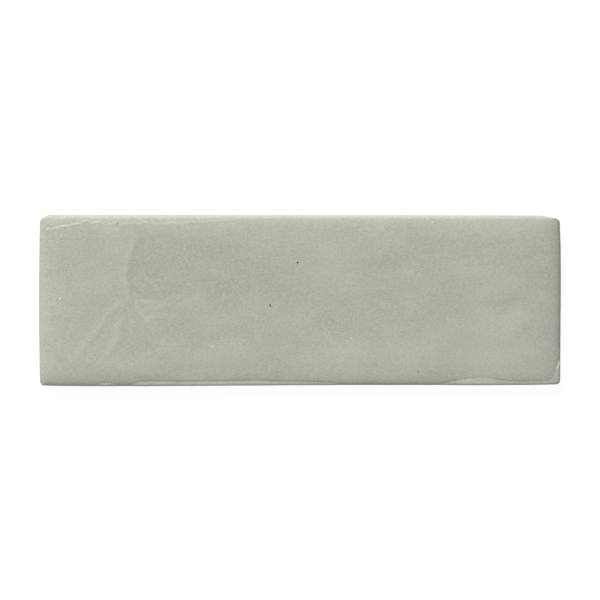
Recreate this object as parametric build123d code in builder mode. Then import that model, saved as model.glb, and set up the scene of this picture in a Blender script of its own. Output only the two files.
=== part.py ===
"""A hand-finished glazed wall tile: one fired slab with a wavy, cushioned face.

X runs along the tile, Y across it and Z up from the bed face, the face that goes into the adhesive.
The origin is the centre of the bed face. All sizes are in millimetres.

The slab is widest at its rim, a narrow flat ledge just under the face. Inside the rim stands the pad,
the raised cushion of the face, whose outline wanders and whose top is a free wavy surface. The bed face
is stamped with a grid of shallow key pockets.
"""

from build123d import *
import os
from dataclasses import dataclass
from math import cos, exp, radians, sin

# Plan of the rim
tile_length = 200.0  # along X, over both bowed ends
tile_width = 65.7  # along Y, at the wider -X end
width_loss = 0.8  # how much narrower the tile is at its +X end
end_bow = 0.4  # how far each short end bulges at its middle
corner_radius = 1.3

# Heights above the bed face
rim_height = 7.4
face_height = 8.35  # the even level in the middle of the face

# Edges of the slab
side_lean = 0.2  # how far the sides step in from the rim down to the bed face
bed_corner_radius = 1.6
undercut_corner_radius = 8.0  # the bed corner at +X +Y, which is cut away further
arris_radius = 0.5  # between the rim and the sides
bed_edge_radius = 0.4

# The pad's outline, as the width of rim left outside it
left_rim = 1.6
right_rim = 1.1
front_rim = [  # (share of the half length, rim width) along the -Y edge
    (-0.75, 1.0),
    (-0.60, 2.1),
    (-0.20, 1.5),
    (0.20, 1.7),
    (0.50, 1.1),
    (0.70, 3.0),
    (0.83, 1.8),
]
back_rim = [  # the same along the +Y edge
    (-0.82, 2.7),
    (-0.60, 1.9),
    (-0.20, 1.3),
    (0.30, 1.8),
    (0.70, 2.3),
]
front_left_rim, front_right_rim = 1.9, 1.7  # at the ends of the -Y edge
back_left_rim, back_right_rim = 3.2, 2.4  # at the ends of the +Y edge
front_left_turn, front_right_turn = 2.5, 5.0  # corner radii of the pad
back_left_turn, back_right_turn = 2.5, 4.0
pad_wall_lean = 30.0  # degrees that the pad's wall leans in
pad_edge_radius = 0.3

# The cushion: the face falls towards its edges like a pillow
roll_off_drop = 0.7  # how far it has fallen at the very edge of the tile
roll_off_reach = 2.2  # how far in from the edge the fall has died down to a third


@dataclass
class Swell:
    """One soft rise or hollow of the face, bell-shaped, long one way and narrow the other."""

    x: float
    y: float
    reach_along: float
    reach_across: float
    angle: float  # degrees from +X that the long way points
    rise: float  # height at its middle, and less than nothing for a hollow

    def height_at(self, x, y):
        turn = radians(self.angle)
        along = (x - self.x) * cos(turn) + (y - self.y) * sin(turn)
        across = (y - self.y) * cos(turn) - (x - self.x) * sin(turn)
        return self.rise * exp(-((along / self.reach_along) ** 2) - (across / self.reach_across) ** 2)


swells = [
    Swell(x=-76.0, y=12.0, reach_along=18.0, reach_across=11.0, angle=80, rise=0.16),  # flat of the fold
    Swell(x=-56.0, y=16.0, reach_along=13.0, reach_across=7.0, angle=84, rise=-0.20),  # scoop beside it
    Swell(x=-77.0, y=-11.0, reach_along=13.0, reach_across=2.6, angle=55, rise=0.12),  # outer crease
    Swell(x=-70.0, y=-15.0, reach_along=11.0, reach_across=2.6, angle=62, rise=0.12),  # inner crease
    Swell(x=-48.0, y=-12.0, reach_along=9.0, reach_across=5.0, angle=20, rise=-0.10),
    Swell(x=-30.0, y=-22.0, reach_along=22.0, reach_across=5.0, angle=8, rise=0.14),
    Swell(x=-6.0, y=0.0, reach_along=12.0, reach_across=5.0, angle=-22, rise=-0.14),
    Swell(x=12.0, y=-8.0, reach_along=6.0, reach_across=4.0, angle=30, rise=-0.09),
    Swell(x=20.0, y=-23.0, reach_along=24.0, reach_across=5.0, angle=0, rise=0.13),
    Swell(x=10.0, y=17.0, reach_along=16.0, reach_across=7.0, angle=12, rise=0.10),
    Swell(x=42.0, y=13.0, reach_along=16.0, reach_across=5.0, angle=14, rise=-0.12),
    Swell(x=58.0, y=-10.0, reach_along=18.0, reach_across=7.0, angle=18, rise=0.08),
    Swell(x=79.0, y=-3.0, reach_along=7.0, reach_across=5.0, angle=35, rise=-0.16),
    Swell(x=76.0, y=-20.0, reach_along=14.0, reach_across=6.0, angle=5, rise=0.12),
    Swell(x=90.0, y=18.0, reach_along=9.0, reach_across=8.0, angle=0, rise=-0.10),
]

# Sample grid of the wavy surface
surface_overhang = 2.0  # how far it runs past the tile
sample_step = 2.5
surface_tolerance = 0.02

# Key pockets stamped into the bed face
key_size = 16.0
key_land = 3.0  # flat left between neighbouring pockets
key_margin = 4.5  # least flat left between a pocket and the side
key_corner_radius = 2.0
key_depth = 0.8

half_length = tile_length / 2
half_width = tile_width / 2
key_pitch = key_size + key_land
key_columns = int((tile_length - 2 * key_margin + key_land) // key_pitch)
key_rows = int((tile_width - width_loss - 2 * key_margin + key_land) // key_pitch)
pad_blank_height = 3.0  # the pad starts this tall and is cut down by the wavy surface


def half_width_at(x):
    """Distance from the X axis to the long edge of the rim: the tile is a little narrower at +X."""
    return half_width - width_loss / 2 * (x + half_length) / tile_length


def draw_slab_outline(inset):
    """The tile's plan, drawn into the active line: straight long edges and bowed short ends."""
    end = half_length - inset
    corner = end - end_bow
    left_half = half_width - inset
    right_half = half_width - width_loss / 2 - inset
    Line((-corner, -left_half), (corner, -right_half))
    ThreePointArc((corner, -right_half), (end, 0), (corner, right_half))
    Line((corner, right_half), (-corner, left_half))
    ThreePointArc((-corner, left_half), (-end, 0), (-corner, -left_half))


def draw_pad_outline():
    """The pad's wandering outline, drawn into the active line."""
    left_x = -(half_length - left_rim)
    right_x = half_length - right_rim
    front = [(share * half_length, -half_width_at(share * half_length) + rim) for share, rim in front_rim]
    back = [(share * half_length, half_width_at(share * half_length) - rim) for share, rim in back_rim]
    front_left = (left_x, -half_width_at(left_x) + front_left_rim)
    front_right = (right_x, -half_width_at(right_x) + front_right_rim)
    back_left = (left_x, half_width_at(left_x) - back_left_rim)
    back_right = (right_x, half_width_at(right_x) - back_right_rim)
    Spline(front_left, *front, front_right)
    Line(front_right, back_right)
    Spline(back_right, *reversed(back), back_left)
    Line(back_left, front_left)


def face_level(x, y):
    """Height of the wavy face above the bed face."""
    from_end = half_length - abs(x)
    from_edge = half_width_at(x) - abs(y)
    fall = exp(-from_end / roll_off_reach) + exp(-from_edge / roll_off_reach)
    return face_height - roll_off_drop * fall + sum(swell.height_at(x, y) for swell in swells)


def stations(half_span):
    """Evenly spaced sample places from one side of the tile to the other, overhang included."""
    reach = half_span + surface_overhang
    count = round(2 * reach / sample_step)
    return [-reach + 2 * reach * n / count for n in range(count + 1)]


# The wavy surface that the pad is cut down to
across_stations = stations(half_width)
wavy_points = [[(x, y, face_level(x, y)) for y in across_stations] for x in stations(half_length)]
wavy_surface = Face.make_surface_from_array_of_points(wavy_points, tol=surface_tolerance, min_deg=3, max_deg=3)

with BuildPart() as tile:
    # Slab, from the bed face up to the rim
    with BuildSketch() as bed_outline:
        with BuildLine():
            draw_slab_outline(side_lean)
        make_face()
        undercut = vertices().sort_by_distance((half_length, half_width))[0]
        fillet([v for v in vertices() if v != undercut], radius=bed_corner_radius)
        undercut = vertices().sort_by_distance((half_length, half_width))[0]
        fillet(undercut, radius=undercut_corner_radius)
    with BuildSketch(Plane.XY.offset(rim_height)) as rim_outline:
        with BuildLine():
            draw_slab_outline(0)
        make_face()
        fillet(vertices(), radius=corner_radius)
    loft(ruled=True)
    rim = faces().filter_by(Axis.Z).sort_by(Axis.Z)[-1]
    fillet(rim.outer_wire().edges(), radius=arris_radius)
    bed_face = faces().filter_by(Axis.Z).sort_by(Axis.Z)[0]
    fillet(bed_face.outer_wire().edges(), radius=bed_edge_radius)

    # Pad, cut down to the wavy face
    with BuildSketch(Plane.XY.offset(rim_height)) as pad_outline:
        with BuildLine():
            draw_pad_outline()
        make_face()
        pad_turns = [
            ((-half_length, -half_width), front_left_turn),
            ((half_length, -half_width), front_right_turn),
            ((-half_length, half_width), back_left_turn),
            ((half_length, half_width), back_right_turn),
        ]
        for corner, radius in pad_turns:
            fillet(vertices().sort_by_distance(corner)[0], radius=radius)
    extrude(amount=pad_blank_height, taper=pad_wall_lean)
    split(bisect_by=wavy_surface, keep=Keep.BOTTOM)
    wavy_face = faces().filter_by(GeomType.BSPLINE).sort_by(SortBy.AREA)[-1]
    fillet(wavy_face.edges(), radius=pad_edge_radius)

    # Key pockets in the bed face
    with BuildSketch():
        with GridLocations(key_pitch, key_pitch, key_columns, key_rows):
            RectangleRounded(key_size, key_size, key_corner_radius)
    extrude(amount=key_depth, mode=Mode.SUBTRACT)

tile.part.label = "tile"

os.makedirs("parts", exist_ok=True)
export_step(tile.part, "parts/tile.step")
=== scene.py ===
"""Looks of a hand-finished glazed wall tile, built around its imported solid.

The tile lies on its bed face with the glazed face up. X runs along it, Y across it and Z out of the bed.
Properties and meshes are in metres, and the relief's tables and functions in millimetres. The tile is one
closed mesh: a fine grid for the glazed face, rings of side wall extruded from its edge, and a bed face
with key pockets.
"""

import math
from dataclasses import dataclass

import bmesh
import bpy
from bpy.props import FloatProperty, FloatVectorProperty, PointerProperty
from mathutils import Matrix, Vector, noise


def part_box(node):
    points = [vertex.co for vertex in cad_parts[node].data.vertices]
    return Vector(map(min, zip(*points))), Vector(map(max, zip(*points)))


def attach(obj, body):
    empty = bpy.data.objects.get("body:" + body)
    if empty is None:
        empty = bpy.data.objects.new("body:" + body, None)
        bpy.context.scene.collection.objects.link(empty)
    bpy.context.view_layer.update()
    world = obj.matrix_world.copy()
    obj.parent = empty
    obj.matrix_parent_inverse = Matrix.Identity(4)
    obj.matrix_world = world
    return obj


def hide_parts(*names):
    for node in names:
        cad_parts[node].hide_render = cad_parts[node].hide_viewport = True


bl_info = {
    "name": "Glazed Wall Tile",
    "version": (1, 0, 0),
    "blender": (4, 5, 0),
    "location": "3D View > Sidebar > Tile",
    "description": "Builds a hand-finished glazed wall tile and the stage it lies on",
    "category": "Object",
}

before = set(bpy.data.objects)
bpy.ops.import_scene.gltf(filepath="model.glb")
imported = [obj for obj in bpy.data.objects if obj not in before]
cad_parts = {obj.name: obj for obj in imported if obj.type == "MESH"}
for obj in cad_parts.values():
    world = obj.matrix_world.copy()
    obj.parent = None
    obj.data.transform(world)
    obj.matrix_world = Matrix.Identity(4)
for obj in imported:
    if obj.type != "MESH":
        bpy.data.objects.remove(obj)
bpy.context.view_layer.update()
TILE_LOW, TILE_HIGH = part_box("tile")
MM = 0.001


# Sizes and colours


class TileShape(bpy.types.PropertyGroup):
    """Sizes of the fired tile."""

    length: FloatProperty(
        name="Length",
        description="Along X, over both bowed ends",
        default=TILE_HIGH[0] - TILE_LOW[0],
        unit="LENGTH",
    )
    width: FloatProperty(
        name="Width",
        description="Along Y, at the wider end",
        default=TILE_HIGH[1] - TILE_LOW[1],
        unit="LENGTH",
    )
    width_loss: FloatProperty(
        name="Width loss",
        description="How much narrower the tile is at its +X end",
        default=0.8 * MM,
        unit="LENGTH",
    )
    end_bow: FloatProperty(
        name="End bow",
        description="How far each short end bulges at its middle",
        default=0.4 * MM,
        unit="LENGTH",
    )
    corner_radius: FloatProperty(
        name="Corner radius",
        description="Radius of the rim's corners",
        default=1.3 * MM,
        unit="LENGTH",
    )
    rim_height: FloatProperty(
        name="Rim height",
        description="Height of the rim's ledge above the bed face",
        default=7.4 * MM,
        unit="LENGTH",
    )
    face_height: FloatProperty(
        name="Face height",
        description="Even level of the face above the bed face",
        default=8.30 * MM,
        unit="LENGTH",
    )
    arris_radius: FloatProperty(
        name="Arris radius",
        description="Radius between the rim and the side walls",
        default=0.5 * MM,
        unit="LENGTH",
    )
    bed_edge_radius: FloatProperty(
        name="Bed edge radius",
        description="Radius between the side walls and the bed face",
        default=0.4 * MM,
        unit="LENGTH",
    )
    side_lean: FloatProperty(
        name="Side lean",
        description="How far the side walls step in down to the bed face",
        default=0.2 * MM,
        unit="LENGTH",
    )
    undercut_depth: FloatProperty(
        name="Undercut depth",
        description="How far the +Y corners of the bed face are cut away under the rim",
        default=1.6 * MM,
        unit="LENGTH",
    )
    key_size: FloatProperty(
        name="Key pocket size",
        description="Side of each square pocket in the bed face",
        default=16.0 * MM,
        unit="LENGTH",
    )
    key_land: FloatProperty(
        name="Key land",
        description="Flat left between neighbouring pockets",
        default=3.0 * MM,
        unit="LENGTH",
    )
    key_margin: FloatProperty(
        name="Key margin",
        description="Least flat left between a pocket and the side",
        default=4.5 * MM,
        unit="LENGTH",
    )
    key_corner_radius: FloatProperty(
        name="Key corner radius",
        description="Radius of the pockets' corners",
        default=2.0 * MM,
        unit="LENGTH",
    )
    key_edge_radius: FloatProperty(
        name="Key edge radius",
        description="Radius along the top and bottom edges of the pockets",
        default=0.25 * MM,
        unit="LENGTH",
    )
    key_depth: FloatProperty(
        name="Key pocket depth",
        description="Depth of the pockets in the bed face",
        default=0.8 * MM,
        unit="LENGTH",
    )


class TileFinish(bpy.types.PropertyGroup):
    """Colours and gloss of the glaze and of the bare clay."""

    glaze_colour: FloatVectorProperty(
        name="Glaze",
        description="Colour of the glaze at its even thickness",
        default=(0.407, 0.4065, 0.3465),
        subtype="COLOR",
        size=3,
        min=0.0,
        max=1.0,
    )
    # Also the colour of the painted shade on the face, the arris and the side walls, and of the darker
    # mottle
    pooled_and_shaded_colour: FloatVectorProperty(
        name="Pooled glaze",
        description="Colour of the glaze where it has gathered in a hollow",
        default=(0.300, 0.299, 0.250),
        subtype="COLOR",
        size=3,
        min=0.0,
        max=1.0,
    )
    # Also the colour of the painted light on the face, the rim, the arris and the side walls, and of the
    # lighter mottle
    thin_and_lit_colour: FloatVectorProperty(
        name="Thin glaze",
        description="Colour of the glaze where it has run off a crest or an edge",
        default=(0.495, 0.494, 0.430),
        subtype="COLOR",
        size=3,
        min=0.0,
        max=1.0,
    )
    clay_colour: FloatVectorProperty(
        name="Fired clay",
        description="Colour of the bare fired clay",
        default=(0.56, 0.54, 0.48),
        subtype="COLOR",
        size=3,
        min=0.0,
        max=1.0,
    )
    pit_colour: FloatVectorProperty(
        name="Pinholes",
        description="Colour of the dark specks and pinholes",
        default=(0.02, 0.018, 0.015),
        subtype="COLOR",
        size=3,
        min=0.0,
        max=1.0,
    )
    # Painted glints: small pale marks where tiny ledges of the glaze catch the key light
    glint_colour: FloatVectorProperty(
        name="Chips",
        description="Colour of the tiny chips that show the slip under the glaze",
        default=(0.85, 0.84, 0.80),
        subtype="COLOR",
        size=3,
        min=0.0,
        max=1.0,
    )


class TileStage(bpy.types.PropertyGroup):
    """Camera, light and floor."""

    view_width: FloatProperty(
        name="View width",
        description="Width that the camera takes in",
        default=0.2298,
        unit="LENGTH",
    )
    camera_tilt: FloatProperty(
        name="Camera tilt",
        description="How far the camera leans from straight above towards +Y",
        default=math.radians(8.0),
        subtype="ANGLE",
    )
    sky_strength: FloatProperty(
        name="Sky strength",
        description="Even light from all round",
        default=0.26,
        min=0.0,
    )
    key_power: FloatProperty(
        name="Key light power",
        description="Power of the soft key light",
        default=17.6,
        unit="POWER",
    )
    key_elevation: FloatProperty(
        name="Key light elevation",
        description="Height of the key light above the floor",
        default=math.radians(43),
        subtype="ANGLE",
    )
    key_turn: FloatProperty(
        name="Key light turn",
        description="How far the key light stands from +Y towards -X",
        default=math.radians(27),
        subtype="ANGLE",
    )
    floor_colour: FloatVectorProperty(
        name="Floor",
        description="Colour with which the floor lights the tile",
        default=(0.70, 0.70, 0.70),
        subtype="COLOR",
        size=3,
        min=0.0,
        max=1.0,
    )
    floor_seen: FloatProperty(
        name="Floor seen",
        description="Share of its colour in which the floor is seen",
        default=0.16,
        min=0.0,
        max=1.0,
    )
    floor_glow: FloatProperty(
        name="Floor glow",
        description="Light that the floor adds to its own look, and not to the tile, so that it is white",
        default=0.95,
        min=0.0,
    )


# Relief of the face


@dataclass
class Swell:
    """One soft rise or hollow of the face, bell-shaped, long one way and narrow the other (mm, degrees)."""

    x: float
    y: float
    reach_along: float
    reach_across: float
    angle: float
    rise: float

    def __post_init__(self):
        self.turn_cos = math.cos(math.radians(self.angle))
        self.turn_sin = math.sin(math.radians(self.angle))

    def height_at(self, x, y):
        along = ((x - self.x) * self.turn_cos + (y - self.y) * self.turn_sin) / self.reach_along
        across = ((y - self.y) * self.turn_cos - (x - self.x) * self.turn_sin) / self.reach_across
        spread = along * along + across * across
        return self.rise * math.exp(-spread) if spread < 9 else 0.0


@dataclass
class Crease:
    """A narrow raised line on the face, or a valley where its lip is less than nothing (mm)."""

    path: list
    lip: float
    lip_reach: float
    end_fade: float = 3.0

    def height_at(self, x, y):
        near = None
        run = 0.0
        for (ax, ay), (bx, by) in zip(self.path, self.path[1:]):
            dx, dy = bx - ax, by - ay
            length = math.hypot(dx, dy)
            held = min(max(((x - ax) * dx + (y - ay) * dy) / length**2, 0.0), 1.0)
            px, py = x - ax - held * dx, y - ay - held * dy
            gap = px * px + py * py
            if near is None or gap < near[0]:
                near = (gap, run + held * length)
            run += length
        end_gap = min(near[1], run - near[1])
        fade = 1.0 - math.exp(-((end_gap / self.end_fade) ** 2))
        return self.lip * math.exp(-near[0] / self.lip_reach**2) * fade


SWELLS = [
    Swell(-80, 12, 18, 11, 80, 0.06),
    Swell(-57, 17, 12, 8, 84, -0.12),
    Swell(-48, -11, 9, 5, 20, -0.10),
    Swell(-30, -22, 22, 5, 8, 0.14),
    Swell(-6, 2, 12, 5, -26, -0.14),
    Swell(11, -7, 7, 5, 30, -0.10),
    Swell(20, -22, 24, 5, 4, 0.13),
    Swell(8, 17, 16, 7, 12, 0.08),
    Swell(42, 17, 14, 4, 16, -0.11),
    Swell(55, -15, 16, 6, 20, 0.12),
    Swell(79, -3, 7, 5, 25, -0.15),
    Swell(77, -22, 14, 6, 5, 0.14),
    Swell(90, 18, 9, 8, 0, -0.08),
]

# Painted shade (darker, less than nothing) and painted light (lighter) that stand in for the shading of the
# face's slopes under the key light, partly glaze that has gathered in hollows and run thinner on crests
PATCHES = [
    Swell(-57.5, 17, 9, 8.5, 0, -0.22),
    Swell(-55, 5, 10, 7, 0, -0.20),
    Swell(-40, 12, 18, 12, 0, -0.32),
    Swell(-27, 5, 15, 9, 0, -0.28),
    Swell(-44, 21.5, 12, 4, 0, -0.15),
    Swell(-76, 16, 6, 9, 0, -0.38),
    Swell(-26, 23, 9, 6, 0, -0.45),
    Swell(-32, 6, 9, 4, 0, -0.26),
    Swell(-13, 5.0, 10, 5, -25, -0.50),
    Swell(-2, 0.0, 7, 4, -20, -0.2),
    Swell(-50, -9.6, 8, 4, 10, -0.25),
    Swell(-48, -16.5, 11, 2.2, 24, 0.25),
    Swell(-39, -16, 4, 2.4, 30, -0.25),
    Swell(-38.3, -20.6, 3.2, 2.2, 0, 0.28),
    Swell(-26.8, -17.4, 7, 4, 10, 0.22),
    Swell(-13, -14.3, 5, 3, 20, -0.22),
    Swell(-8.4, -19.8, 9, 4, 0, 0.25),
    Swell(-96, -14, 12, 4, 90, 0.45),
    Swell(-97, 12, 8, 3, 90, 0.4),
    Swell(38, 16, 10, 3, 15, -0.25),
    Swell(38, -23, 9, 6, 10, 0.55),
    Swell(30, 3, 7, 4, 0, -0.22),
    Swell(10.7, -6.5, 7, 5, 10, -0.40),
    Swell(77.4, -0.2, 6, 3.2, 10, -0.45),
    Swell(79.5, -7.5, 10, 5.5, 20, 0.50),
    Swell(73, -14.5, 10, 5, 20, 0.28),
    Swell(53, -14.5, 14, 4.5, 22, 0.22),
    Swell(74, 7.5, 11, 6, 10, 0.42),
    Swell(73, 28, 14, 3, 0, 0.35),
    Swell(43, 21, 8, 4, 0, 0.2),
    Swell(94, 19, 8, 7, 0, -0.50),
    Swell(51, -3.8, 9, 3, 12, -0.15),
    Swell(64, -21, 10, 6, 0, 0.30),
    Swell(20, -22, 15, 6, 5, 0.42),
    Swell(74, -27, 9, 4, 0, 0.4),
    Swell(70, -7, 20, 9, 20, 0.18),
    Swell(5, 15.4, 9, 5, 0, 0.12),
    Swell(81, -21, 10, 6, 0, 0.45),
    Swell(-84, -12, 8, 8, 0, 0.15),
    Swell(-75.8, -17, 4.5, 3.5, 0, 0.22),
    Swell(-85.7, -21.8, 4, 2.5, 30, 0.35),
    Swell(-51, -22, 8, 5, 0, -0.22),
    Swell(-65, -29.3, 14, 2.2, 0, -0.6),
    Swell(-21, -29.5, 16, 2.2, 0, -0.7),
    Swell(19, -19, 12, 10, 0, 0.2),
    Swell(20, -29, 18, 3, 0, 0.25),
    Swell(34, -12, 6, 12, 0, 0.18),
    Swell(-46, 3.3, 6, 4, 0, -0.3),
    Swell(-21, -3, 9, 8, 0, -0.2),
    Swell(-80.8, 22.7, 9, 5, 0, -0.18),
    Swell(75, 28.5, 24, 3.5, 0, 0.25),
    Swell(-98.6, 0, 30, 1.5, 90, 0.3),
    # Lighter and darker marks along the flake's edges, and small lighter spots beside it
    Swell(-58.2, -6.6, 1.8, 0.7, 15, 0.9),
    Swell(-54.5, -2.3, 1.5, 0.7, -10, 0.6),
    Swell(-62.3, -1.6, 2.0, 0.5, -65, 0.5),
    Swell(-56.8, -3.6, 2.6, 0.5, 20, -0.5),
    Swell(-54.6, -5.0, 2.8, 0.5, 25, -0.4),
    Swell(-64.7, -7.1, 0.7, 0.6, 0, 0.9),
    Swell(-65.4, -9.1, 0.7, 0.6, 0, 0.6),
    Swell(-66.0, 1.1, 0.8, 0.6, 0, 0.7),
    Swell(-70.8, -0.9, 0.6, 0.5, 0, 0.6),
]

# The fold: a crease across the face as (y, x) in mm, with a scoop on its +X side. Past the fold the colour
# is darker, partly gathered glaze and partly painted shade in the scoop, and just before it the colour is
# lighter, partly thinner glaze and partly painted light on its lip.
FOLD_LINE = [
    (-2.5, -59.5), (0.4, -62.6), (3.8, -65.0), (7.0, -66.1), (10.2, -66.3), (14.5, -65.4),
    (19.6, -64.2), (24.0, -62.6), (29.0, -60.0),
]
FOLD_LIP, FOLD_LIP_REACH = 0.05, 1.3
SCOOP_DEPTH, SCOOP_REACH, SCOOP_RECOVERY = 0.30, 3.0, 14.0
TONE_START, TONE_BLUR = -0.4, 0.8  # where the tone changes, from the fold, and over what width
POOLED_AND_SHADE_PAST_FOLD, POOLED_AND_SHADE_REACH = 0.5, 18.0
THIN_AND_LIT_BEFORE_FOLD, THIN_AND_LIT_REACH = 0.22, 1.6

RIDGES = [
    Crease(
        [
            (-64.5, 2.6), (-68.0, -0.4), (-71.5, -3.0), (-74.4, -6.2), (-76.6, -9.8), (-80.0, -14.2),
            (-84.2, -18.3), (-87.4, -21.6),
        ],
        lip=0.10, lip_reach=1.4,
    ),
    Crease(
        [(-66.0, 1.0), (-69.6, -2.2), (-72.6, -5.4), (-74.8, -9.4), (-78.2, -13.8), (-82.6, -18.4)],
        lip=-0.05, lip_reach=0.8,
    ),
    Crease(
        [(-66.0, -4.4), (-68.9, -7.4), (-69.8, -10.5), (-69.9, -14.0), (-71.6, -17.4), (-75.2, -22.6)],
        lip=0.11, lip_reach=1.4,
    ),
    Crease(
        [(-66.4, -7.0), (-67.4, -10.5), (-67.6, -14.2), (-69.6, -18.6), (-73.0, -22.8)],
        lip=-0.06, lip_reach=0.8,
    ),
]
FLAKE_EDGES = [
    Crease(
        [(-63.2, 1.2), (-62.3, -2.0), (-60.4, -5.2), (-58.6, -6.6), (-55.0, -5.4), (-52.5, -3.8)],
        lip=0.05, lip_reach=0.5, end_fade=0.5,
    ),
    Crease(
        [(-63.0, 0.9), (-58.0, 0.1), (-54.0, -0.5), (-51.5, -1.6)],
        lip=0.04, lip_reach=0.5, end_fade=0.5,
    ),
    Crease([(-60.5, -3.0), (-57.5, -2.4), (-55.4, -3.4)], lip=0.04, lip_reach=0.5, end_fade=0.5),
]


@dataclass
class GlazeLip:
    """The lip that the glaze ends in where it has crept back from the +Y edge, as (x, y) places (mm)."""

    line: list
    rise: float
    tip: float = 1.0  # how far in from its two ends it has risen

    def height_at(self, x, y):
        from_tip = min(x - self.line[0][0], self.line[-1][0] - x)
        if from_tip <= 0:
            return 0.0
        gap = y - along_table(self.line, x)
        reach = LIP_REACH_OUT if gap > 0 else LIP_REACH_IN
        return self.rise * min(from_tip / self.tip, 1.0) * math.exp(-((gap / reach) ** 2))


LIP_REACH_OUT, LIP_REACH_IN = 0.25, 0.5  # towards the +Y edge the lip is steep, and the other way gentle
GLAZE_LIPS = [
    GlazeLip(
        [
            (-97.6, 27.7), (-95.3, 28.4), (-92.6, 28.7), (-91.6, 29.3), (-88.0, 29.5), (-86.9, 30.0),
            (-84.2, 30.3), (-83.5, 30.6), (-82.5, 31.2), (-81.2, 32.0),
        ],
        rise=0.13,
    ),
    GlazeLip(
        [(-80.9, 31.0), (-79.6, 30.8), (-78.7, 30.6), (-77.3, 31.0), (-75.8, 31.4)],
        rise=0.11, tip=0.4,
    ),
    GlazeLip(
        [
            (-74.1, 29.9), (-73.1, 30.3), (-71.6, 30.2), (-70.2, 30.6), (-69.0, 30.0), (-67.7, 30.1),
            (-63.9, 30.4), (-60.5, 30.2), (-59.3, 30.9), (-56.2, 30.4), (-51.0, 30.2), (-49.4, 30.6),
            (-46.0, 30.4), (-43.6, 30.6), (-42.5, 31.1), (-39.0, 30.8), (-32.5, 31.3), (-27.2, 31.5),
        ],
        rise=0.08, tip=1.5,
    ),
]


@dataclass
class Flake:
    """A thin flake of clay pressed onto the face, between three corners going anticlockwise (mm)."""

    corners: list
    rise: float
    soft: float = 0.9  # how far in from its sides it has risen

    def share_at(self, x, y):
        inside = min(
            ((bx - ax) * (y - ay) - (by - ay) * (x - ax)) / math.hypot(bx - ax, by - ay)
            for (ax, ay), (bx, by) in zip(self.corners, self.corners[1:] + self.corners[:1])
        )
        share = min(max(inside / self.soft, 0.0), 1.0)
        return share * share * (3 - 2 * share)


FLAKE = Flake([(-63.6, 1.4), (-59.0, -7.4), (-50.2, -1.6)], rise=0.05)

# How much lighter the colour is per mm that these forms rise, and on the flake as a whole: on the ridges'
# crests and the flake's edges a painted highlight, partly thinner glaze; in the ridges' valleys painted
# shade, partly gathered glaze; along the glaze lips a painted glint; on the flake as a whole thinner glaze
RIDGE_HIGHLIGHT_AND_SHADE, FLAKE_EDGE_HIGHLIGHT, LIP_GLINT, FLAKE_TONE = 4.0, 14.0, 10.0, 0.25

# Unevenness of the face, slow to fine: turns per mm along X, slant, turns per mm along Y, place in the
# noise and height in mm
UNEVENNESS = [
    (0.06, -0.03, 0.13, 7.0, 0.025),
    (0.22, -0.12, 0.33, 1.5, 0.012),
    (0.6, 0.0, 0.75, 11.0, 0.0045),
]

# Width of the rim left outside the pad, as (place along the edge, rim width) in mm. Less than nothing is
# no rim.
FRONT_RIM = [
    (-100, 0.4), (-95, -0.6), (-78.5, -0.6), (-76.2, 1.1), (-74.3, 1.5), (-72.3, 1.1), (-70.3, -0.4),
    (-66, -0.4), (-63.5, 0.9), (-61.6, 1.6), (-57.4, 1.8), (-50.5, 1.8), (-45.9, 1.6), (-21, 1.7),
    (-18, 1.9), (-14.5, 1.8), (-9.6, 1.5), (0, 1.4), (11.5, 1.0), (15.5, 0.1), (18, -0.6), (51.8, -0.6),
    (55.2, 0.7), (58.2, 1.4), (61.2, 2.0), (64.7, 2.5), (69.3, 2.8), (72.4, 2.6), (76.2, 2.0),
    (80.1, 1.5), (83.9, 1.3), (94.6, 1.3), (100, 1.6),
]
BACK_RIM = [(0, -0.6)]
LEFT_RIM = [(-33, 0.4), (-28, -0.6), (33, -0.6)]
RIGHT_RIM = [(-33, 2.0), (-28.4, 1.7), (-26.0, 1.2), (-24.0, 0.4), (-22.0, -0.6)]
# How far in from the widest outline each edge lies, as (place along the edge, distance) in mm, if the
# width loss and end bow are those of the tables
FRONT_EDGE = [
    (-100, 0.23), (-90, 0.05), (-80, 0.0), (-62, 0.02), (-45, 0.12), (-19, 0.27), (0, 0.38), (20, 0.42),
    (60, 0.43), (85, 0.47), (100, 0.70),
]
BACK_EDGE = [(-100, 0.0), (-60, 0.02), (0, 0.08), (30, 0.10), (85, 0.20), (100, 0.38)]
LEFT_EDGE = [(-33, 0.4), (-23, 0.2), (-11, 0.05), (0, 0.0), (11, 0.05), (23, 0.2), (33, 0.42)]
RIGHT_EDGE = [
    (-33, 0.32), (-28.4, 0.26), (-18.7, 0.18), (-9, 0.13), (0.6, 0.03), (10.3, 0.0), (20, 0.06),
    (29.6, 0.35), (33, 0.55),
]
TABLE_LOSS, TABLE_BOW = 0.8, 0.4
# How deep the side wall is cut away under the +Y corners, as (distance from the end, share of the depth)
LEFT_UNDERCUT = [(0, 1.0), (1.0, 0.8), (2.2, 0.5), (2.9, 0.2), (3.6, 0.0)]
RIGHT_UNDERCUT = [(0, 0.9), (1.1, 0.75), (3.4, 0.45), (6.6, 0.1), (8.0, 0.0)]

# Pairs of what holds at the two ends (-X, +X) and at the two long edges (-Y, +Y)
END_RIMS, EDGE_RIMS = (LEFT_RIM, RIGHT_RIM), (FRONT_RIM, BACK_RIM)
END_LINES, EDGE_LINES = (LEFT_EDGE, RIGHT_EDGE), (FRONT_EDGE, BACK_EDGE)
UNDERCUTS = LEFT_UNDERCUT, RIGHT_UNDERCUT
CORNER_SHARES = (1.0, 1.0), (1.4, 1.5)  # of the corner radius, as (-Y corners), (+Y corners)
PAD_TURNS = (2.5, 3.6), (2.0, 3.0)  # radii of the pad's corners, in the same order
# How far the face has fallen at each edge, and how soon the fall has died down to a third: (drop, reach)
END_FALLS, EDGE_FALLS = ((0.8, 2.3), (1.3, 3.4)), ((0.72, 3.2), (0.80, 2.6))
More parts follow.
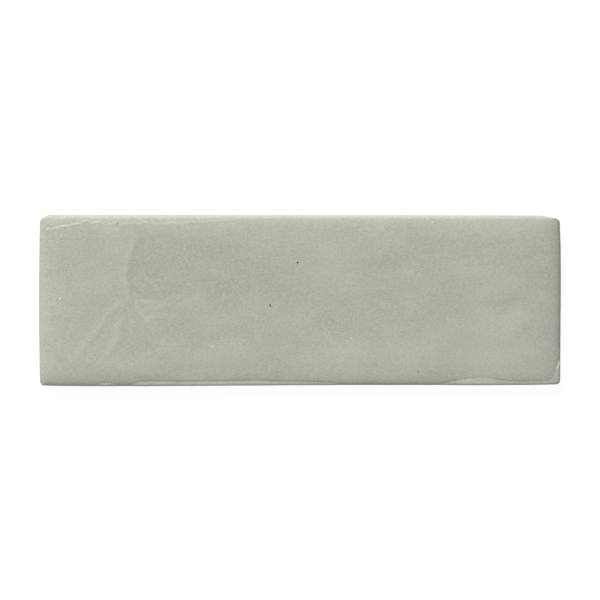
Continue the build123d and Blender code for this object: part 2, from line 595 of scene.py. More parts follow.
# The last rounding before the arris, in the same way
END_TURNS, EDGE_TURNS = ((0.10, 0.4), (0.8, 0.8)), ((0.9, 0.95), (0.05, 0.4))

PAD_WALL, PAD_WANDER = 0.8, 0.12  # how wide the pad's wall is, and how far it wanders
END_RIM_REACH = 6.0  # from the end, beyond which its rim has no say
# The rim's ledge lies this far below the rim height, rises this much per mm inwards, and lies higher per mm
# of its width, more so past a wide rim
LEDGE_DROP, LEDGE_RISE, LEDGE_LIFT, WIDE_LIFT, WIDE_RIM = 0.14, 0.03, 0.19, 0.12, 1.8
LEDGE_SINK, LEDGE_SINK_REACH = 0.28, 3.0  # how much less that is in a corner, and how far from it
LEDGE_TURN = (0.9, 0.35)  # how far the ledge drops at the arris, and how soon
CORNER_DROP = 0.4  # how much further it drops at the -Y +X corner


def along_table(table, place):
    """Value of a (place, value) table at a place, eased between its entries."""
    if place <= table[0][0]:
        return table[0][1]
    for (low, low_value), (high, high_value) in zip(table, table[1:]):
        if place < high:
            share = (place - low) / (high - low)
            share = share * share * (3 - 2 * share)
            return low_value + (high_value - low_value) * share
    return table[-1][1]


def rounded_inside(from_end, from_edge, radius):
    """How far inside a rounded corner a point lies, from its distances to the two edges."""
    if from_end < radius and from_edge < radius:
        return radius - math.hypot(radius - from_end, radius - from_edge)
    return min(from_end, from_edge)


def fall_at(from_end, from_edge, end_fall, edge_fall):
    """How far the surface has fallen, from the (drop, reach) of its end and of its long edge."""
    end_part = end_fall[0] * math.exp(-from_end / end_fall[1])
    return math.hypot(end_part, edge_fall[0] * math.exp(-from_edge / edge_fall[1]))


def near_ridges(x, y):
    """Whether a point is in the part of the face that has the ridges and the flake."""
    return x < -48 and y < 6


class Relief:
    """Height of the glazed face over the bed, in millimetres."""

    def __init__(self, shape):
        self.half_length = shape.length / MM / 2
        self.half_width = shape.width / MM / 2
        self.loss = shape.width_loss / MM
        self.bow = shape.end_bow / MM
        self.rim = shape.rim_height / MM
        self.face = shape.face_height / MM

    def half_width_at(self, x, y):
        return self.half_width - self.loss / TABLE_LOSS * along_table(EDGE_LINES[y >= 0], x)

    def half_length_at(self, x, y):
        return self.half_length - self.bow / TABLE_BOW * along_table(END_LINES[x >= 0], y)

    def pad_share(self, x, y, from_end, from_edge):
        """0 on the rim, 1 on the pad and between them on its wall, and how much higher a wide rim lies."""
        wander = PAD_WANDER * noise.noise(Vector((x * 0.45, y * 0.45, 3.0)))
        end_rim = along_table(END_RIMS[x >= 0], y) if from_end < END_RIM_REACH else 0.0
        edge_rim = along_table(EDGE_RIMS[y >= 0], x)
        radius = PAD_TURNS[y >= 0][x >= 0]
        inside = rounded_inside(from_end - end_rim, from_edge - edge_rim, radius) + wander
        share = min(max(inside / PAD_WALL, 0.0), 1.0)
        wider = max(end_rim, edge_rim, 0.0)
        corner = max(min(end_rim, edge_rim), 0.0) * math.exp(-max(from_end, from_edge) / LEDGE_SINK_REACH)
        lift = LEDGE_LIFT * wider + WIDE_LIFT * max(wider - WIDE_RIM, 0.0) - LEDGE_SINK * corner
        return share * share * (3 - 2 * share), lift

    def past_fold(self, x, y):
        """How far +X of the fold a point lies, and how strong the fold is there."""
        fade = min(max((y + 1.5) / 4.0, 0.0), 1.0) * min(max((28.5 - y) / 8.0, 0.0), 1.0)
        return x - along_table(FOLD_LINE, y), fade * fade * (3 - 2 * fade)

    def glaze_lips(self, x, y):
        """Height of the ragged lips where the glaze has crept back from the +Y edge."""
        if y <= 26 or x >= -20:
            return 0.0
        ragged = y + 0.55 * noise.noise(Vector((x * 0.9, 9.0, 0.0)))
        broken = min(max(0.9 + 1.4 * noise.noise(Vector((x * 0.7, 3.0, 8.0))), 0.3), 1.2)
        return broken * sum(lip.height_at(x, ragged) for lip in GLAZE_LIPS)

    def waves(self, x, y):
        """The soft waves of the face: named swells, the fold and slow unevenness."""
        height = sum(swell.height_at(x, y) for swell in SWELLS)
        gap, fade = self.past_fold(x, y)
        height += FOLD_LIP * fade * math.exp(-((gap / FOLD_LIP_REACH) ** 2))
        if gap > 0:
            scoop = SCOOP_DEPTH * (1 - math.exp(-gap / SCOOP_REACH)) * math.exp(-gap / SCOOP_RECOVERY)
            height -= scoop * fade
        if near_ridges(x, y):
            height += sum(crease.height_at(x, y) for crease in RIDGES + FLAKE_EDGES)
            height += FLAKE.rise * FLAKE.share_at(x, y)
        for along, slant, across, seed, rise in UNEVENNESS:
            height += rise * noise.noise(Vector((x * along + y * slant, y * across, seed)))
        return height

    def tone(self, x, y):
        """Tone of the colour, partly the thickness of the glaze and partly painted light and shade: -1
        darker, 1 lighter.
        """
        tone = sum(patch.height_at(x, y) for patch in PATCHES)
        gap, fade = self.past_fold(x, y)
        start = gap - TONE_START
        # Painted shade in the scoop past the fold and painted light on its lip, partly gathered and thinner
        # glaze
        if start > 0:
            tone -= POOLED_AND_SHADE_PAST_FOLD * fade * math.exp(-gap / POOLED_AND_SHADE_REACH) * min(start / TONE_BLUR, 1.0)
        else:
            tone += THIN_AND_LIT_BEFORE_FOLD * fade * math.exp(-((start / THIN_AND_LIT_REACH) ** 2))
        if near_ridges(x, y):
            # Painted highlight on the ridges' crests and the flake's edges, and painted shade in the
            # ridges' valleys
            tone += RIDGE_HIGHLIGHT_AND_SHADE * sum(ridge.height_at(x, y) for ridge in RIDGES)
            tone += FLAKE_EDGE_HIGHLIGHT * sum(edge.height_at(x, y) for edge in FLAKE_EDGES)
            tone += FLAKE_TONE * FLAKE.share_at(x, y)
        # A painted glint along the glaze lips
        return tone + LIP_GLINT * self.glaze_lips(x, y)

    def height_at(self, x, y):
        """Height of the top surface, and how much lighter its colour is there for lying on the rim: thinner
        glaze, and partly painted light on the wide ledges.
        """
        from_end = max(self.half_length_at(x, y) - abs(x), 0)
        from_edge = max(self.half_width_at(x, y) - abs(y), 0)
        level = self.face + self.waves(x, y) + self.glaze_lips(x, y)
        level -= fall_at(from_end, from_edge, END_FALLS[x >= 0], EDGE_FALLS[y >= 0])
        level -= fall_at(from_end, from_edge, END_TURNS[x >= 0], EDGE_TURNS[y >= 0])
        share, lift = self.pad_share(x, y, from_end, from_edge)
        ledge = self.rim - LEDGE_DROP + lift + LEDGE_RISE * min(from_end, from_edge)
        ledge -= fall_at(from_end, from_edge, LEDGE_TURN, LEDGE_TURN)
        if x > 0 and y < 0:
            ledge -= CORNER_DROP * math.exp(-(from_end + from_edge))
        # The wider the ledge, the lighter its colour: thinner glaze, and partly painted light
        return ledge + (level - ledge) * share, (1 - share) * min(0.5 + 0.7 * lift, 1.0)


# The tile's mesh

COLUMN_COUNT, ROW_COUNT = 372, 172  # cells of the face's grid
EDGE_CELLS = 27  # of them in the band along each edge
EDGE_BAND = 5.6  # mm
SLOPE_STEP = 0.25  # mm inwards over which the face's slope at its edge is taken
ARRIS_RINGS, WALL_RINGS, BED_RINGS = 6, 11, 3
WALL_UNEVENNESS = 0.03  # mm
# Painted light on the +Y arris and side wall, which face the key light, and painted shade on the -Y and +X
# ones, which face away from it
ARRIS_PAINTED_LIGHT, ARRIS_PAINTED_SHADE, WALL_PAINTED_LIGHT, WALL_PAINTED_SHADE = 0.5, 1.6, 0.9, 0.8
# How far down the walls the glaze ran, as a share of their height: the least, its wander and its raggedness
RUN, RUN_WANDER, RUN_RAGGED = 0.75, 0.30, 0.06


def graded(index, count, half_span):
    """Place of one grid line across a span whose cells are closer together along both edges, in mm."""
    if index < EDGE_CELLS:
        return -half_span + EDGE_BAND * index / EDGE_CELLS
    if index > count - EDGE_CELLS:
        return half_span - EDGE_BAND * (count - index) / EDGE_CELLS
    middle_count = count - 2 * EDGE_CELLS
    return (half_span - EDGE_BAND) * (2 * (index - EDGE_CELLS) / middle_count - 1)


def round_corner(x, y, half_x, half_y, radius):
    """Moves a point of a square corner's grid into the rounded corner, in mm."""
    a = (abs(x) - half_x + radius) / radius
    b = (abs(y) - half_y + radius) / radius
    if a <= 0 or b <= 0:
        return x, y
    new_a = a * math.sqrt(1 - b * b / 2)
    new_b = b * math.sqrt(1 - a * a / 2)
    return (
        math.copysign(half_x - radius + radius * new_a, x),
        math.copysign(half_y - radius + radius * new_b, y),
    )


def build_tile_mesh(shape):
    """The whole fired tile as one closed mesh."""
    relief = Relief(shape)
    arris = shape.arris_radius / MM
    half_x = relief.half_length - arris
    half_y = relief.half_width - arris
    bm = bmesh.new()
    bmesh.ops.create_grid(bm, x_segments=COLUMN_COUNT, y_segments=ROW_COUNT, size=0.5)
    glaze_and_light_tone = bm.verts.layers.float.new("glaze_and_light_tone")
    rim_thin_and_lit = bm.verts.layers.float.new("rim")
    glazed = bm.verts.layers.float.new("glazed")
    # For the side walls: where each edge point stands, which way is out and how steep the face is there
    foot = bm.verts.layers.float_vector.new("foot")
    outward = bm.verts.layers.float_vector.new("outward")
    edge_slope = bm.verts.layers.float.new("edge_slope")
    for vert in bm.verts:
        column = round((vert.co.x + 0.5) * COLUMN_COUNT)
        row = round((vert.co.y + 0.5) * ROW_COUNT)
        x = graded(column, COLUMN_COUNT, half_x)
        y = graded(row, ROW_COUNT, half_y)
        corner = shape.corner_radius / MM * CORNER_SHARES[y > 0][x > 0]
        x, y = round_corner(x, y, half_x, half_y, corner - arris / 2)
        x *= (relief.half_length_at(x, y) - arris) / half_x
        y *= (relief.half_width_at(x, y) - arris) / half_y
        z, rim_thin_and_lit_share = relief.height_at(x, y)
        vert.co = Vector((x, y, z)) * MM
        vert[glaze_and_light_tone] = relief.tone(x, y)
        vert[rim_thin_and_lit] = rim_thin_and_lit_share
        vert[glazed] = 1.0
        if column in (0, COLUMN_COUNT) or row in (0, ROW_COUNT):
            inner_x = min(max(x, corner - half_x), half_x - corner)
            inner_y = min(max(y, corner - half_y), half_y - corner)
            direction = Vector((x - inner_x, y - inner_y, 0)).normalized()
            step = SLOPE_STEP * direction
            further_in = relief.height_at(x - step.x, y - step.y)[0]
            vert[foot] = Vector((x, y, z))
            vert[outward] = direction
            vert[edge_slope] = max(math.atan((further_in - z) / SLOPE_STEP), 0.0)
    add_side_walls(bm, shape, relief)
    for face in bm.faces:
        face.smooth = True
    add_bed(bm, shape)
    bmesh.ops.recalc_face_normals(bm, faces=bm.faces)
    mesh = bpy.data.meshes.new("fired_tile")
    bm.to_mesh(mesh)
    bm.free()
    return mesh


def add_side_walls(bm, shape, relief):
    """Extrudes the edge of the face's grid down to the bed, ring by ring."""
    foot = bm.verts.layers.float_vector["foot"]
    outward = bm.verts.layers.float_vector["outward"]
    edge_slope = bm.verts.layers.float["edge_slope"]
    glazed = bm.verts.layers.float["glazed"]
    glaze_and_light_tone = bm.verts.layers.float["glaze_and_light_tone"]
    rim_thin_and_lit = bm.verts.layers.float["rim"]
    arris = shape.arris_radius / MM
    bed_edge = shape.bed_edge_radius / MM
    lean = shape.side_lean / MM
    counts = ("arris", ARRIS_RINGS), ("wall", WALL_RINGS), ("bed", BED_RINGS)
    rings = [(kind, step / count) for kind, count in counts for step in range(1, count + 1)]
    edges = [edge for edge in bm.edges if edge.is_boundary]
    for kind, share in rings:
        made = bmesh.ops.extrude_edge_only(bm, edges=edges)["geom"]
        edges = [item for item in made if isinstance(item, bmesh.types.BMEdge)]
        for vert in [item for item in made if isinstance(item, bmesh.types.BMVert)]:
            base = vert[foot]
            slope = vert[edge_slope]
            radius = arris / (1 - math.sin(slope))
            wall_top = base.z - radius * math.cos(slope)
            if kind == "arris":
                angle = slope + (math.pi / 2 - slope) * share
                out = radius * (math.sin(angle) - math.sin(slope))
                z = base.z - radius * (math.cos(slope) - math.cos(angle))
            elif kind == "wall":
                out = arris
                z = wall_top - (wall_top - bed_edge) * share
            else:
                out = arris - bed_edge * (1 - math.cos(share * math.pi / 2))
                z = bed_edge * (1 - math.sin(share * math.pi / 2))
            depth = 1 - z / relief.rim
            out -= lean * depth
            if kind != "bed":
                uneven = 1 + noise.noise(Vector((base.x * 0.3, base.y * 0.3, z * 0.5)))
                out -= WALL_UNEVENNESS * uneven * min(2 * depth, 1.0)
            place = Vector((base.x, base.y, 0)) + vert[outward] * out
            place.y -= undercut_at(shape, place.x, depth) * max(vert[outward].y, 0.0)
            vert.co = Vector((place.x, place.y, z)) * MM
            wander = 0.5 + 0.5 * noise.noise(Vector((base.x * 0.16, base.y * 0.16, 2.0)))
            ragged = noise.noise(Vector((base.x * 0.7, base.y * 0.7, 4.0)))
            reach = RUN + RUN_WANDER * wander + RUN_RAGGED * ragged
            to_back, to_front = max(vert[outward].y, 0.0), max(-vert[outward].y, vert[outward].x, 0.0)
            if kind == "arris":
                # Each ring starts from the tones of the ring before it. Painted light on the +Y side of the
                # arris, and painted shade on its -Y and +X sides, where the rim's lightening also fades
                vert[glaze_and_light_tone] += (ARRIS_PAINTED_LIGHT * to_back - ARRIS_PAINTED_SHADE * to_front) * share
                vert[rim_thin_and_lit] *= 1 - 0.5 * to_front * share
            else:
                # Painted light down the +Y side wall, and painted shade down the others, more towards the
                # bed
                darkening = WALL_PAINTED_SHADE * (1 - to_back) * min(depth * 2, 1.0)
                vert[glaze_and_light_tone] = WALL_PAINTED_LIGHT * to_back - darkening
            vert[glazed] = min(max((reach - depth) / 0.12 + 0.5, 0.0), 1.0)


def undercut_at(shape, x, depth):
    """How far the +Y side wall is cut away near its two ends, more towards the bed face, in mm."""
    from_end = shape.length / MM / 2 - abs(x)
    return depth * shape.undercut_depth / MM * along_table(UNDERCUTS[x >= 0], from_end)


def add_bed(bm, shape):
    """Closes the mesh with the bed face and its grid of key pockets."""
    pitch = shape.key_size + shape.key_land
    columns = int((shape.length - 2 * shape.key_margin + shape.key_land) // pitch)
    rows = int((shape.width - shape.width_loss - 2 * shape.key_margin + shape.key_land) // pitch)
    wall_faces = set(bm.faces)
    grid = bmesh.ops.create_grid(bm, x_segments=columns, y_segments=rows, size=0.5)
    for vert in grid["verts"]:
        vert.co = Vector((vert.co.x * columns * pitch, vert.co.y * rows * pitch, 0))
    cells = [face for face in bm.faces if face not in wall_faces]
    bmesh.ops.inset_individual(bm, faces=cells, thickness=shape.key_land / 2, depth=0, use_even_offset=True)
    pressed = bmesh.ops.extrude_discrete_faces(bm, faces=cells)["faces"]
    for vert in {vert for face in pressed for vert in face.verts}:
        vert.co.z = shape.key_depth
    uprights = {
        edge
        for face in pressed
        for vert in face.verts
        for edge in vert.link_edges
        if edge.verts[0].co.z != edge.verts[1].co.z
    }
    bmesh.ops.bevel(
        bm,
        geom=list(uprights),
        offset=shape.key_corner_radius,
        offset_type="OFFSET",
        affect="EDGES",
        segments=4,
        profile=0.5,
        material=-1,
    )
    steps = [
        edge
        for edge in bm.edges
        if len(edge.link_faces) == 2
        and not wall_faces.intersection(edge.link_faces)
        and edge.calc_face_angle() > math.radians(60)
    ]
    rounded = bmesh.ops.bevel(
        bm,
        geom=steps,
        offset=shape.key_edge_radius,
        offset_type="OFFSET",
        affect="EDGES",
        segments=2,
        profile=0.5,
        material=-1,
    )
    for face in rounded["faces"]:
        face.smooth = True
    open_edges = [edge for edge in bm.edges if edge.is_boundary]
    bmesh.ops.triangle_fill(bm, edges=open_edges, use_beauty=True, normal=Vector((0, 0, -1)))


# Node helpers and groups


class Wiring:
    """Adds nodes to a tree from left to right and links them by socket name."""

    def __init__(self, tree):
        self.tree = tree
        self.count = 0

    def node(self, kind, settings=None, **links):
        made = self.tree.nodes.new(kind)
        made.location = (180 * self.count, 0)
        self.count += 1
        for name, value in (settings or {}).items():
            setattr(made, name, value)
        for name, value in links.items():
            self.join(made, name.replace("_", " "), value)
        return made

    def join(self, node, name, value):
        socket = node.inputs[int(name)] if name.isdigit() else node.inputs[name]
        if isinstance(value, bpy.types.NodeSocket):
            self.tree.links.new(value, socket)
        else:
            socket.default_value = value


def math_node(wiring, operation, first, second):
    made = wiring.node("ShaderNodeMath", {"operation": operation})
    wiring.join(made, "0", first)
    wiring.join(made, "1", second)
    return made.outputs[0]


def map_range(wiring, value, low, high, out_low=0.0, out_high=1.0, smooth=False):
    kind = "SMOOTHSTEP" if smooth else "LINEAR"
    made = wiring.node("ShaderNodeMapRange", {"clamp": True, "interpolation_type": kind})
    for name, setting in (
        ("Value", value),
        ("From Min", low),
        ("From Max", high),
        ("To Min", out_low),
        ("To Max", out_high),
    ):
        wiring.join(made, name, setting)
    return made.outputs[0]


def mix_colour(wiring, factor, first, second, blend="MIX"):
    made = wiring.node("ShaderNodeMix", {"data_type": "RGBA", "blend_type": blend})
    wiring.join(made, "0", factor)
    wiring.join(made, "6", first)
    wiring.join(made, "7", second)
    return made.outputs[2]


def colour4(colour):
    return (*colour, 1.0)


def new_group(name, inputs, outputs):
    """A shader node group with named sockets."""
    group = bpy.data.node_groups.new(name, "ShaderNodeTree")
    for label, kind in inputs:
        group.interface.new_socket(name=label, in_out="INPUT", socket_type=kind)
    for label, kind in outputs:
        group.interface.new_socket(name=label, in_out="OUTPUT", socket_type=kind)
    wiring = Wiring(group)
    source = wiring.node("NodeGroupInput")
    result = wiring.node("NodeGroupOutput")
    return group, wiring, source, result


def fired_clay_group():
    """Pale fired clay: a chalky colour with darker grog, and its grainy height."""
    group, w, source, result = new_group(
        "Fired clay",
        [("Vector", "NodeSocketVector"), ("Clay", "NodeSocketColor")],
        [("Color", "NodeSocketColor"), ("Height", "NodeSocketFloat")],
    )
    place = source.outputs["Vector"]
    cloud = w.node("ShaderNodeTexNoise", Vector=place, Scale=90.0, Detail=4.0, Roughness=0.6)
    grain = w.node("ShaderNodeTexNoise", Vector=place, Scale=1800.0, Detail=3.0, Roughness=0.65)
    grog = w.node("ShaderNodeTexVoronoi", Vector=place, Scale=900.0)
    darker = mix_colour(w, 1.0, source.outputs["Clay"], (0.86, 0.84, 0.80, 1.0), "MULTIPLY")
    base = mix_colour(w, map_range(w, cloud.outputs["Fac"], 0.35, 0.65), source.outputs["Clay"], darker)
    spots = map_range(w, grog.outputs["Distance"], 0.10, 0.16, 0.45, 0.0)
    spotted = mix_colour(w, spots, base, (0.36, 0.31, 0.25, 1.0))
    w.tree.links.new(spotted, result.inputs["Color"])
    w.tree.links.new(grain.outputs["Fac"], result.inputs["Height"])
    return group


def orange_peel_group():
    """Height of the soft dimples that a satin glaze sets with, and its cloudy mottle and fine grain."""
    group, w, source, result = new_group(
        "Orange peel",
        [("Vector", "NodeSocketVector")],
        [("Height", "NodeSocketFloat"), ("Mottle", "NodeSocketFloat"), ("Grain", "NodeSocketFloat")],
    )
    place = source.outputs["Vector"]
    turn = (0, 0, math.radians(-28))
    slanted = w.node("ShaderNodeMapping", Vector=place, Rotation=turn, Scale=(0.6, 1.0, 1.0))
    coarse = w.node("ShaderNodeTexNoise", Vector=slanted.outputs[0], Scale=420.0, Detail=2.0, Roughness=0.5)
    fine = w.node("ShaderNodeTexNoise", Vector=place, Scale=1100.0, Detail=2.0, Roughness=0.5)
    cloud = w.node("ShaderNodeTexNoise", Vector=slanted.outputs[0], Scale=95.0, Detail=5.0, Roughness=0.62)
    height = math_node(w, "ADD", coarse.outputs["Fac"], math_node(w, "MULTIPLY", fine.outputs["Fac"], 0.35))
    w.tree.links.new(height, result.inputs["Height"])
    grain = w.node("ShaderNodeTexNoise", Vector=slanted.outputs[0], Scale=1900.0, Detail=3.0, Roughness=0.8)
    w.tree.links.new(cloud.outputs["Fac"], result.inputs["Mottle"])
    w.tree.links.new(grain.outputs["Fac"], result.inputs["Grain"])
    return group


def use_group(wiring, group, **links):
    made = wiring.node("ShaderNodeGroup", {"node_tree": group})
    for name, value in links.items():
        wiring.join(made, name, value)
    return made


# (x, y, radius, strength) of the marks on the face, in mm
PINHOLES = [
    (-0.95, 15.25, 0.34, 1.0),
    (-11.45, -1.05, 0.30, 0.85),
    (-11.35, -1.55, 0.30, 0.85),
    (-89.6, 12.25, 0.20, 0.6),
    (45.2, -27.1, 0.24, 0.55),
    (95.7, 10.5, 0.2, 0.6),
    (-69.7, 30.5, 0.3, 0.5),
    (-70.1, 30.2, 0.25, 0.5),
    (-91.3, 24.3, 0.3, 0.25),
    (-90.4, 24.7, 0.3, 0.25),
    (-91.35, 1.3, 0.2, 0.6),
    (-91.6, 0.8, 0.18, 0.5),
]
# Painted glints: small pale marks where tiny ledges of the glaze catch the key light
GLINTS = [
    (-91.6, 1.6, 0.22, 0.9),
    (-91.9, 1.1, 0.2, 0.9),
    (-33.9, -17.2, 0.2, 0.7),
    (-33.4, -17.1, 0.2, 0.8),
    (-32.9, -17.1, 0.18, 0.6),
    (14.8, -7.1, 0.18, 0.5),
    (19.7, -13.9, 0.2, 0.8),
    (50.7, 30.9, 0.22, 0.8),
]


def mark(wiring, place, colour, marks, mark_colour):
    """Colours small round marks onto a colour."""
    for x, y, radius, strength in marks:
        gap = wiring.node("ShaderNodeVectorMath", {"operation": "DISTANCE"})
        wiring.join(gap, "0", place)
        wiring.join(gap, "1", (x * MM, y * MM, 0.0))
        spot = map_range(wiring, gap.outputs["Value"], 0.7 * radius * MM, 1.3 * radius * MM, strength, 0.0)
        colour = mix_colour(wiring, spot, colour, colour4(mark_colour))
    return colour


def glaze_material(finish):
    """Satin glaze over fired clay, with the glaze running out down the side walls."""
    material = bpy.data.materials.new("satin glaze")
    material.use_nodes = True
    tree = material.node_tree
    tree.nodes.clear()
    w = Wiring(tree)
    place = w.node("ShaderNodeTexCoord").outputs["Object"]
    glazed = w.node("ShaderNodeAttribute", {"attribute_name": "glazed"}).outputs["Fac"]
    glaze_and_light_tone = w.node("ShaderNodeAttribute", {"attribute_name": "glaze_and_light_tone"}).outputs["Fac"]
    peel = use_group(w, orange_peel_group(), Vector=place)
    clay = use_group(w, fired_clay_group(), Vector=place, Clay=colour4(finish.clay_colour))
    rim = w.node("ShaderNodeAttribute", {"attribute_name": "rim"}).outputs["Fac"]
    # Darker where the tone is below nothing, and lighter where it is above it and on the rim: partly
    # gathered and thinner glaze, partly painted shade and painted light
    darkening = map_range(w, glaze_and_light_tone, 0.0, -1.6)
    lightening = math_node(w, "MAXIMUM", map_range(w, glaze_and_light_tone, 0.0, 1.0), rim)
    colour = mix_colour(w, darkening, colour4(finish.glaze_colour), colour4(finish.pooled_and_shaded_colour))
    colour = mix_colour(w, lightening, colour, colour4(finish.thin_and_lit_colour))
    mottle = map_range(w, peel.outputs["Mottle"], 0.32, 0.68, -0.5, 0.5)
    darker = mix_colour(w, map_range(w, mottle, 0.0, 0.5, 0.0, 0.22), colour, colour4(finish.pooled_and_shaded_colour))
    colour = mix_colour(w, map_range(w, mottle, 0.0, -0.5, 0.0, 0.35), darker, colour4(finish.thin_and_lit_colour))
    grain = map_range(w, peel.outputs["Grain"], 0.3, 0.7, -0.5, 0.5)
    colour = mix_colour(w, map_range(w, grain, 0.0, 0.5, 0.0, 0.66), colour, colour4(finish.pooled_and_shaded_colour))
    colour = mix_colour(w, map_range(w, grain, 0.0, -0.5, 0.0, 0.76), colour, colour4(finish.thin_and_lit_colour))
    # The marks are round in plan, whatever the height of the face
    in_plan = w.node("ShaderNodeVectorMath", {"operation": "MULTIPLY"})
    w.join(in_plan, "0", place)
    w.join(in_plan, "1", (1.0, 1.0, 0.0))
    colour = mark(w, in_plan.outputs[0], colour, PINHOLES, finish.pit_colour)
    # Painted glints on tiny ledges of the glaze
    colour = mark(w, in_plan.outputs[0], colour, GLINTS, finish.glint_colour)
    mask = map_range(w, glazed, 0.35, 0.65, smooth=True)
    colour = mix_colour(w, mask, clay.outputs["Color"], colour)
    height = math_node(w, "MULTIPLY", peel.outputs["Height"], mask)
    bump = w.node("ShaderNodeBump", Strength=1.0, Distance=0.03 * MM, Height=height)
    shader = w.node("ShaderNodeBsdfPrincipled", Normal=bump.outputs["Normal"], IOR=1.45)
    w.join(shader, "Base Color", colour)
    w.join(shader, "Roughness", map_range(w, mask, 0.0, 1.0, 0.85, 0.42))
    output = w.node("ShaderNodeOutputMaterial")
    tree.links.new(shader.outputs[0], output.inputs["Surface"])
    return material


# Operators


class TILE_OT_fired_tile(bpy.types.Operator):
    """Build the fired tile with its glazed face, side walls and keyed bed"""

    bl_idname = "tile.fired_tile"
    bl_label = "Fired tile"

    def execute(self, context):
        mesh = build_tile_mesh(context.scene.tile_shape)
        mesh.materials.append(glaze_material(context.scene.tile_finish))
        piece = bpy.data.objects.new("fired_tile", mesh)
        context.scene.collection.objects.link(piece)
        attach(piece, "root")
        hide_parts("tile")
        return {"FINISHED"}


class TILE_OT_stage(bpy.types.Operator):
    """Set up the floor, the lights and the camera"""

    bl_idname = "tile.stage"
    bl_label = "Stage"

    def execute(self, context):
        setup = context.scene.tile_stage
        add_floor(context, setup)
        add_sky(context, setup)
        add_key_light(context, setup)
        add_camera(context, setup)
        context.scene.view_settings.view_transform = "Standard"
        return {"FINISHED"}


def seen_directly(wiring):
    """1 for what the camera, a reflection or a transmission sees, and 0 for what lights the object."""
    rays = wiring.node("ShaderNodeLightPath")
    either = math_node(wiring, "MAXIMUM", rays.outputs["Is Camera Ray"], rays.outputs["Is Glossy Ray"])
    return math_node(wiring, "MAXIMUM", either, rays.outputs["Is Transmission Ray"])


FLOOR_REACH = 3.0  # how far the floor runs past the tile, in metres
FLOOR_HOLE = 98.8 * MM, 31.6 * MM  # half the size of its opening, just inside the foot of the side walls
FLOOR_DROP = 0.02 * MM  # how far it lies under the bed face, so that the two don't flicker
KEY_SIZE, KEY_DISTANCE = 0.7, 1.2
CAMERA_DISTANCE = 0.8
CAMERA_AIM = Vector((0, 0.00022, 0.0042))


def add_floor(context, setup):
    bm = bmesh.new()
    bmesh.ops.create_grid(bm, x_segments=1, y_segments=1, size=1.0)
    bmesh.ops.scale(bm, verts=bm.verts, vec=(FLOOR_REACH + FLOOR_HOLE[0], FLOOR_REACH + FLOOR_HOLE[1], 1))
    bmesh.ops.translate(bm, verts=bm.verts, vec=(0, 0, -FLOOR_DROP))
    # Under the tile the floor is open, so that the bed face is lit and seen from below
    under_tile = list(bm.faces)
    bmesh.ops.inset_individual(bm, faces=under_tile, thickness=FLOOR_REACH, depth=0, use_even_offset=True)
    bmesh.ops.delete(bm, geom=under_tile, context="FACES_ONLY")
    mesh = bpy.data.meshes.new("floor")
    bm.to_mesh(mesh)
    bm.free()
    material = bpy.data.materials.new("floor")
    material.use_nodes = True
    tree = material.node_tree
    tree.nodes.clear()
    w = Wiring(tree)
    seen = seen_directly(w)
    seen_colour = [setup.floor_seen * value for value in setup.floor_colour]
    matt_colour = mix_colour(w, seen, colour4(setup.floor_colour), colour4(seen_colour))
    matt = w.node("ShaderNodeBsdfDiffuse", Color=matt_colour)
    glow = w.node("ShaderNodeEmission", Strength=math_node(w, "MULTIPLY", seen, setup.floor_glow))
    both = w.node("ShaderNodeAddShader")
    tree.links.new(matt.outputs[0], both.inputs[0])
    tree.links.new(glow.outputs[0], both.inputs[1])
    # From below, the floor is clear
    clear = w.node("ShaderNodeBsdfTransparent")
    side = w.node("ShaderNodeMixShader", Fac=w.node("ShaderNodeNewGeometry").outputs["Backfacing"])
    tree.links.new(both.outputs[0], side.inputs[1])
    tree.links.new(clear.outputs[0], side.inputs[2])
    output = w.node("ShaderNodeOutputMaterial")
    tree.links.new(side.outputs[0], output.inputs["Surface"])
    mesh.materials.append(material)
    floor = bpy.data.objects.new("floor", mesh)
    context.scene.collection.objects.link(floor)


def add_sky(context, setup):
    world = bpy.data.worlds.new("sky")
    world.use_nodes = True
    tree = world.node_tree
    tree.nodes.clear()
    w = Wiring(tree)
    strength = map_range(w, seen_directly(w), 0.0, 1.0, setup.sky_strength, 1.0)
    sky = w.node("ShaderNodeBackground", Color=(1, 1, 1, 1), Strength=strength)
    output = w.node("ShaderNodeOutputWorld")
    tree.links.new(sky.outputs[0], output.inputs["Surface"])
    context.scene.world = world


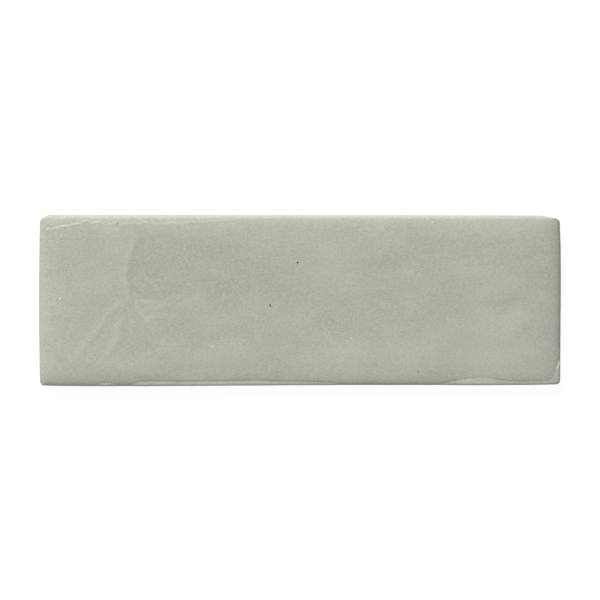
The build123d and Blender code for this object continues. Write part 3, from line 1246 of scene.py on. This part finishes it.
def add_key_light(context, setup):
    lamp = bpy.data.lights.new("key", "AREA")
    lamp.shape = "SQUARE"
    lamp.size = KEY_SIZE
    lamp.energy = setup.key_power
    key = bpy.data.objects.new("key", lamp)
    flat = KEY_DISTANCE * math.cos(setup.key_elevation)
    key.location = (
        -flat * math.sin(setup.key_turn),
        flat * math.cos(setup.key_turn),
        KEY_DISTANCE * math.sin(setup.key_elevation),
    )
    key.rotation_euler = Vector(key.location).to_track_quat("Z", "Y").to_euler()
    context.scene.collection.objects.link(key)


def add_camera(context, setup):
    lens = bpy.data.cameras.new("camera")
    lens.type = "ORTHO"
    lens.ortho_scale = setup.view_width
    camera = bpy.data.objects.new("camera", lens)
    tilt = setup.camera_tilt
    camera.location = CAMERA_AIM + CAMERA_DISTANCE * Vector((0, math.sin(tilt), math.cos(tilt)))
    camera.rotation_euler = (-tilt, 0, 0)
    context.scene.collection.objects.link(camera)
    context.scene.camera = camera


class TILE_PT_panel(bpy.types.Panel):
    """Sizes, colours and steps of the glazed wall tile"""

    bl_label = "Glazed wall tile"
    bl_idname = "TILE_PT_panel"
    bl_space_type = "VIEW_3D"
    bl_region_type = "UI"
    bl_category = "Tile"

    def draw(self, context):
        scene = context.scene
        for group in (scene.tile_shape, scene.tile_finish, scene.tile_stage):
            box = self.layout.box()
            for name in group.__annotations__:
                box.prop(group, name)
        self.layout.operator(TILE_OT_fired_tile.bl_idname)
        self.layout.operator(TILE_OT_stage.bl_idname)


CLASSES = (TileShape, TileFinish, TileStage, TILE_OT_fired_tile, TILE_OT_stage, TILE_PT_panel)


def register():
    for cls in CLASSES:
        bpy.utils.register_class(cls)
    bpy.types.Scene.tile_shape = PointerProperty(type=TileShape)
    bpy.types.Scene.tile_finish = PointerProperty(type=TileFinish)
    bpy.types.Scene.tile_stage = PointerProperty(type=TileStage)


def unregister():
    del bpy.types.Scene.tile_stage
    del bpy.types.Scene.tile_finish
    del bpy.types.Scene.tile_shape
    for cls in reversed(CLASSES):
        bpy.utils.unregister_class(cls)


def main():
    register()
    bpy.ops.tile.fired_tile()
    bpy.ops.tile.stage()


if __name__ == "__main__":
    main()
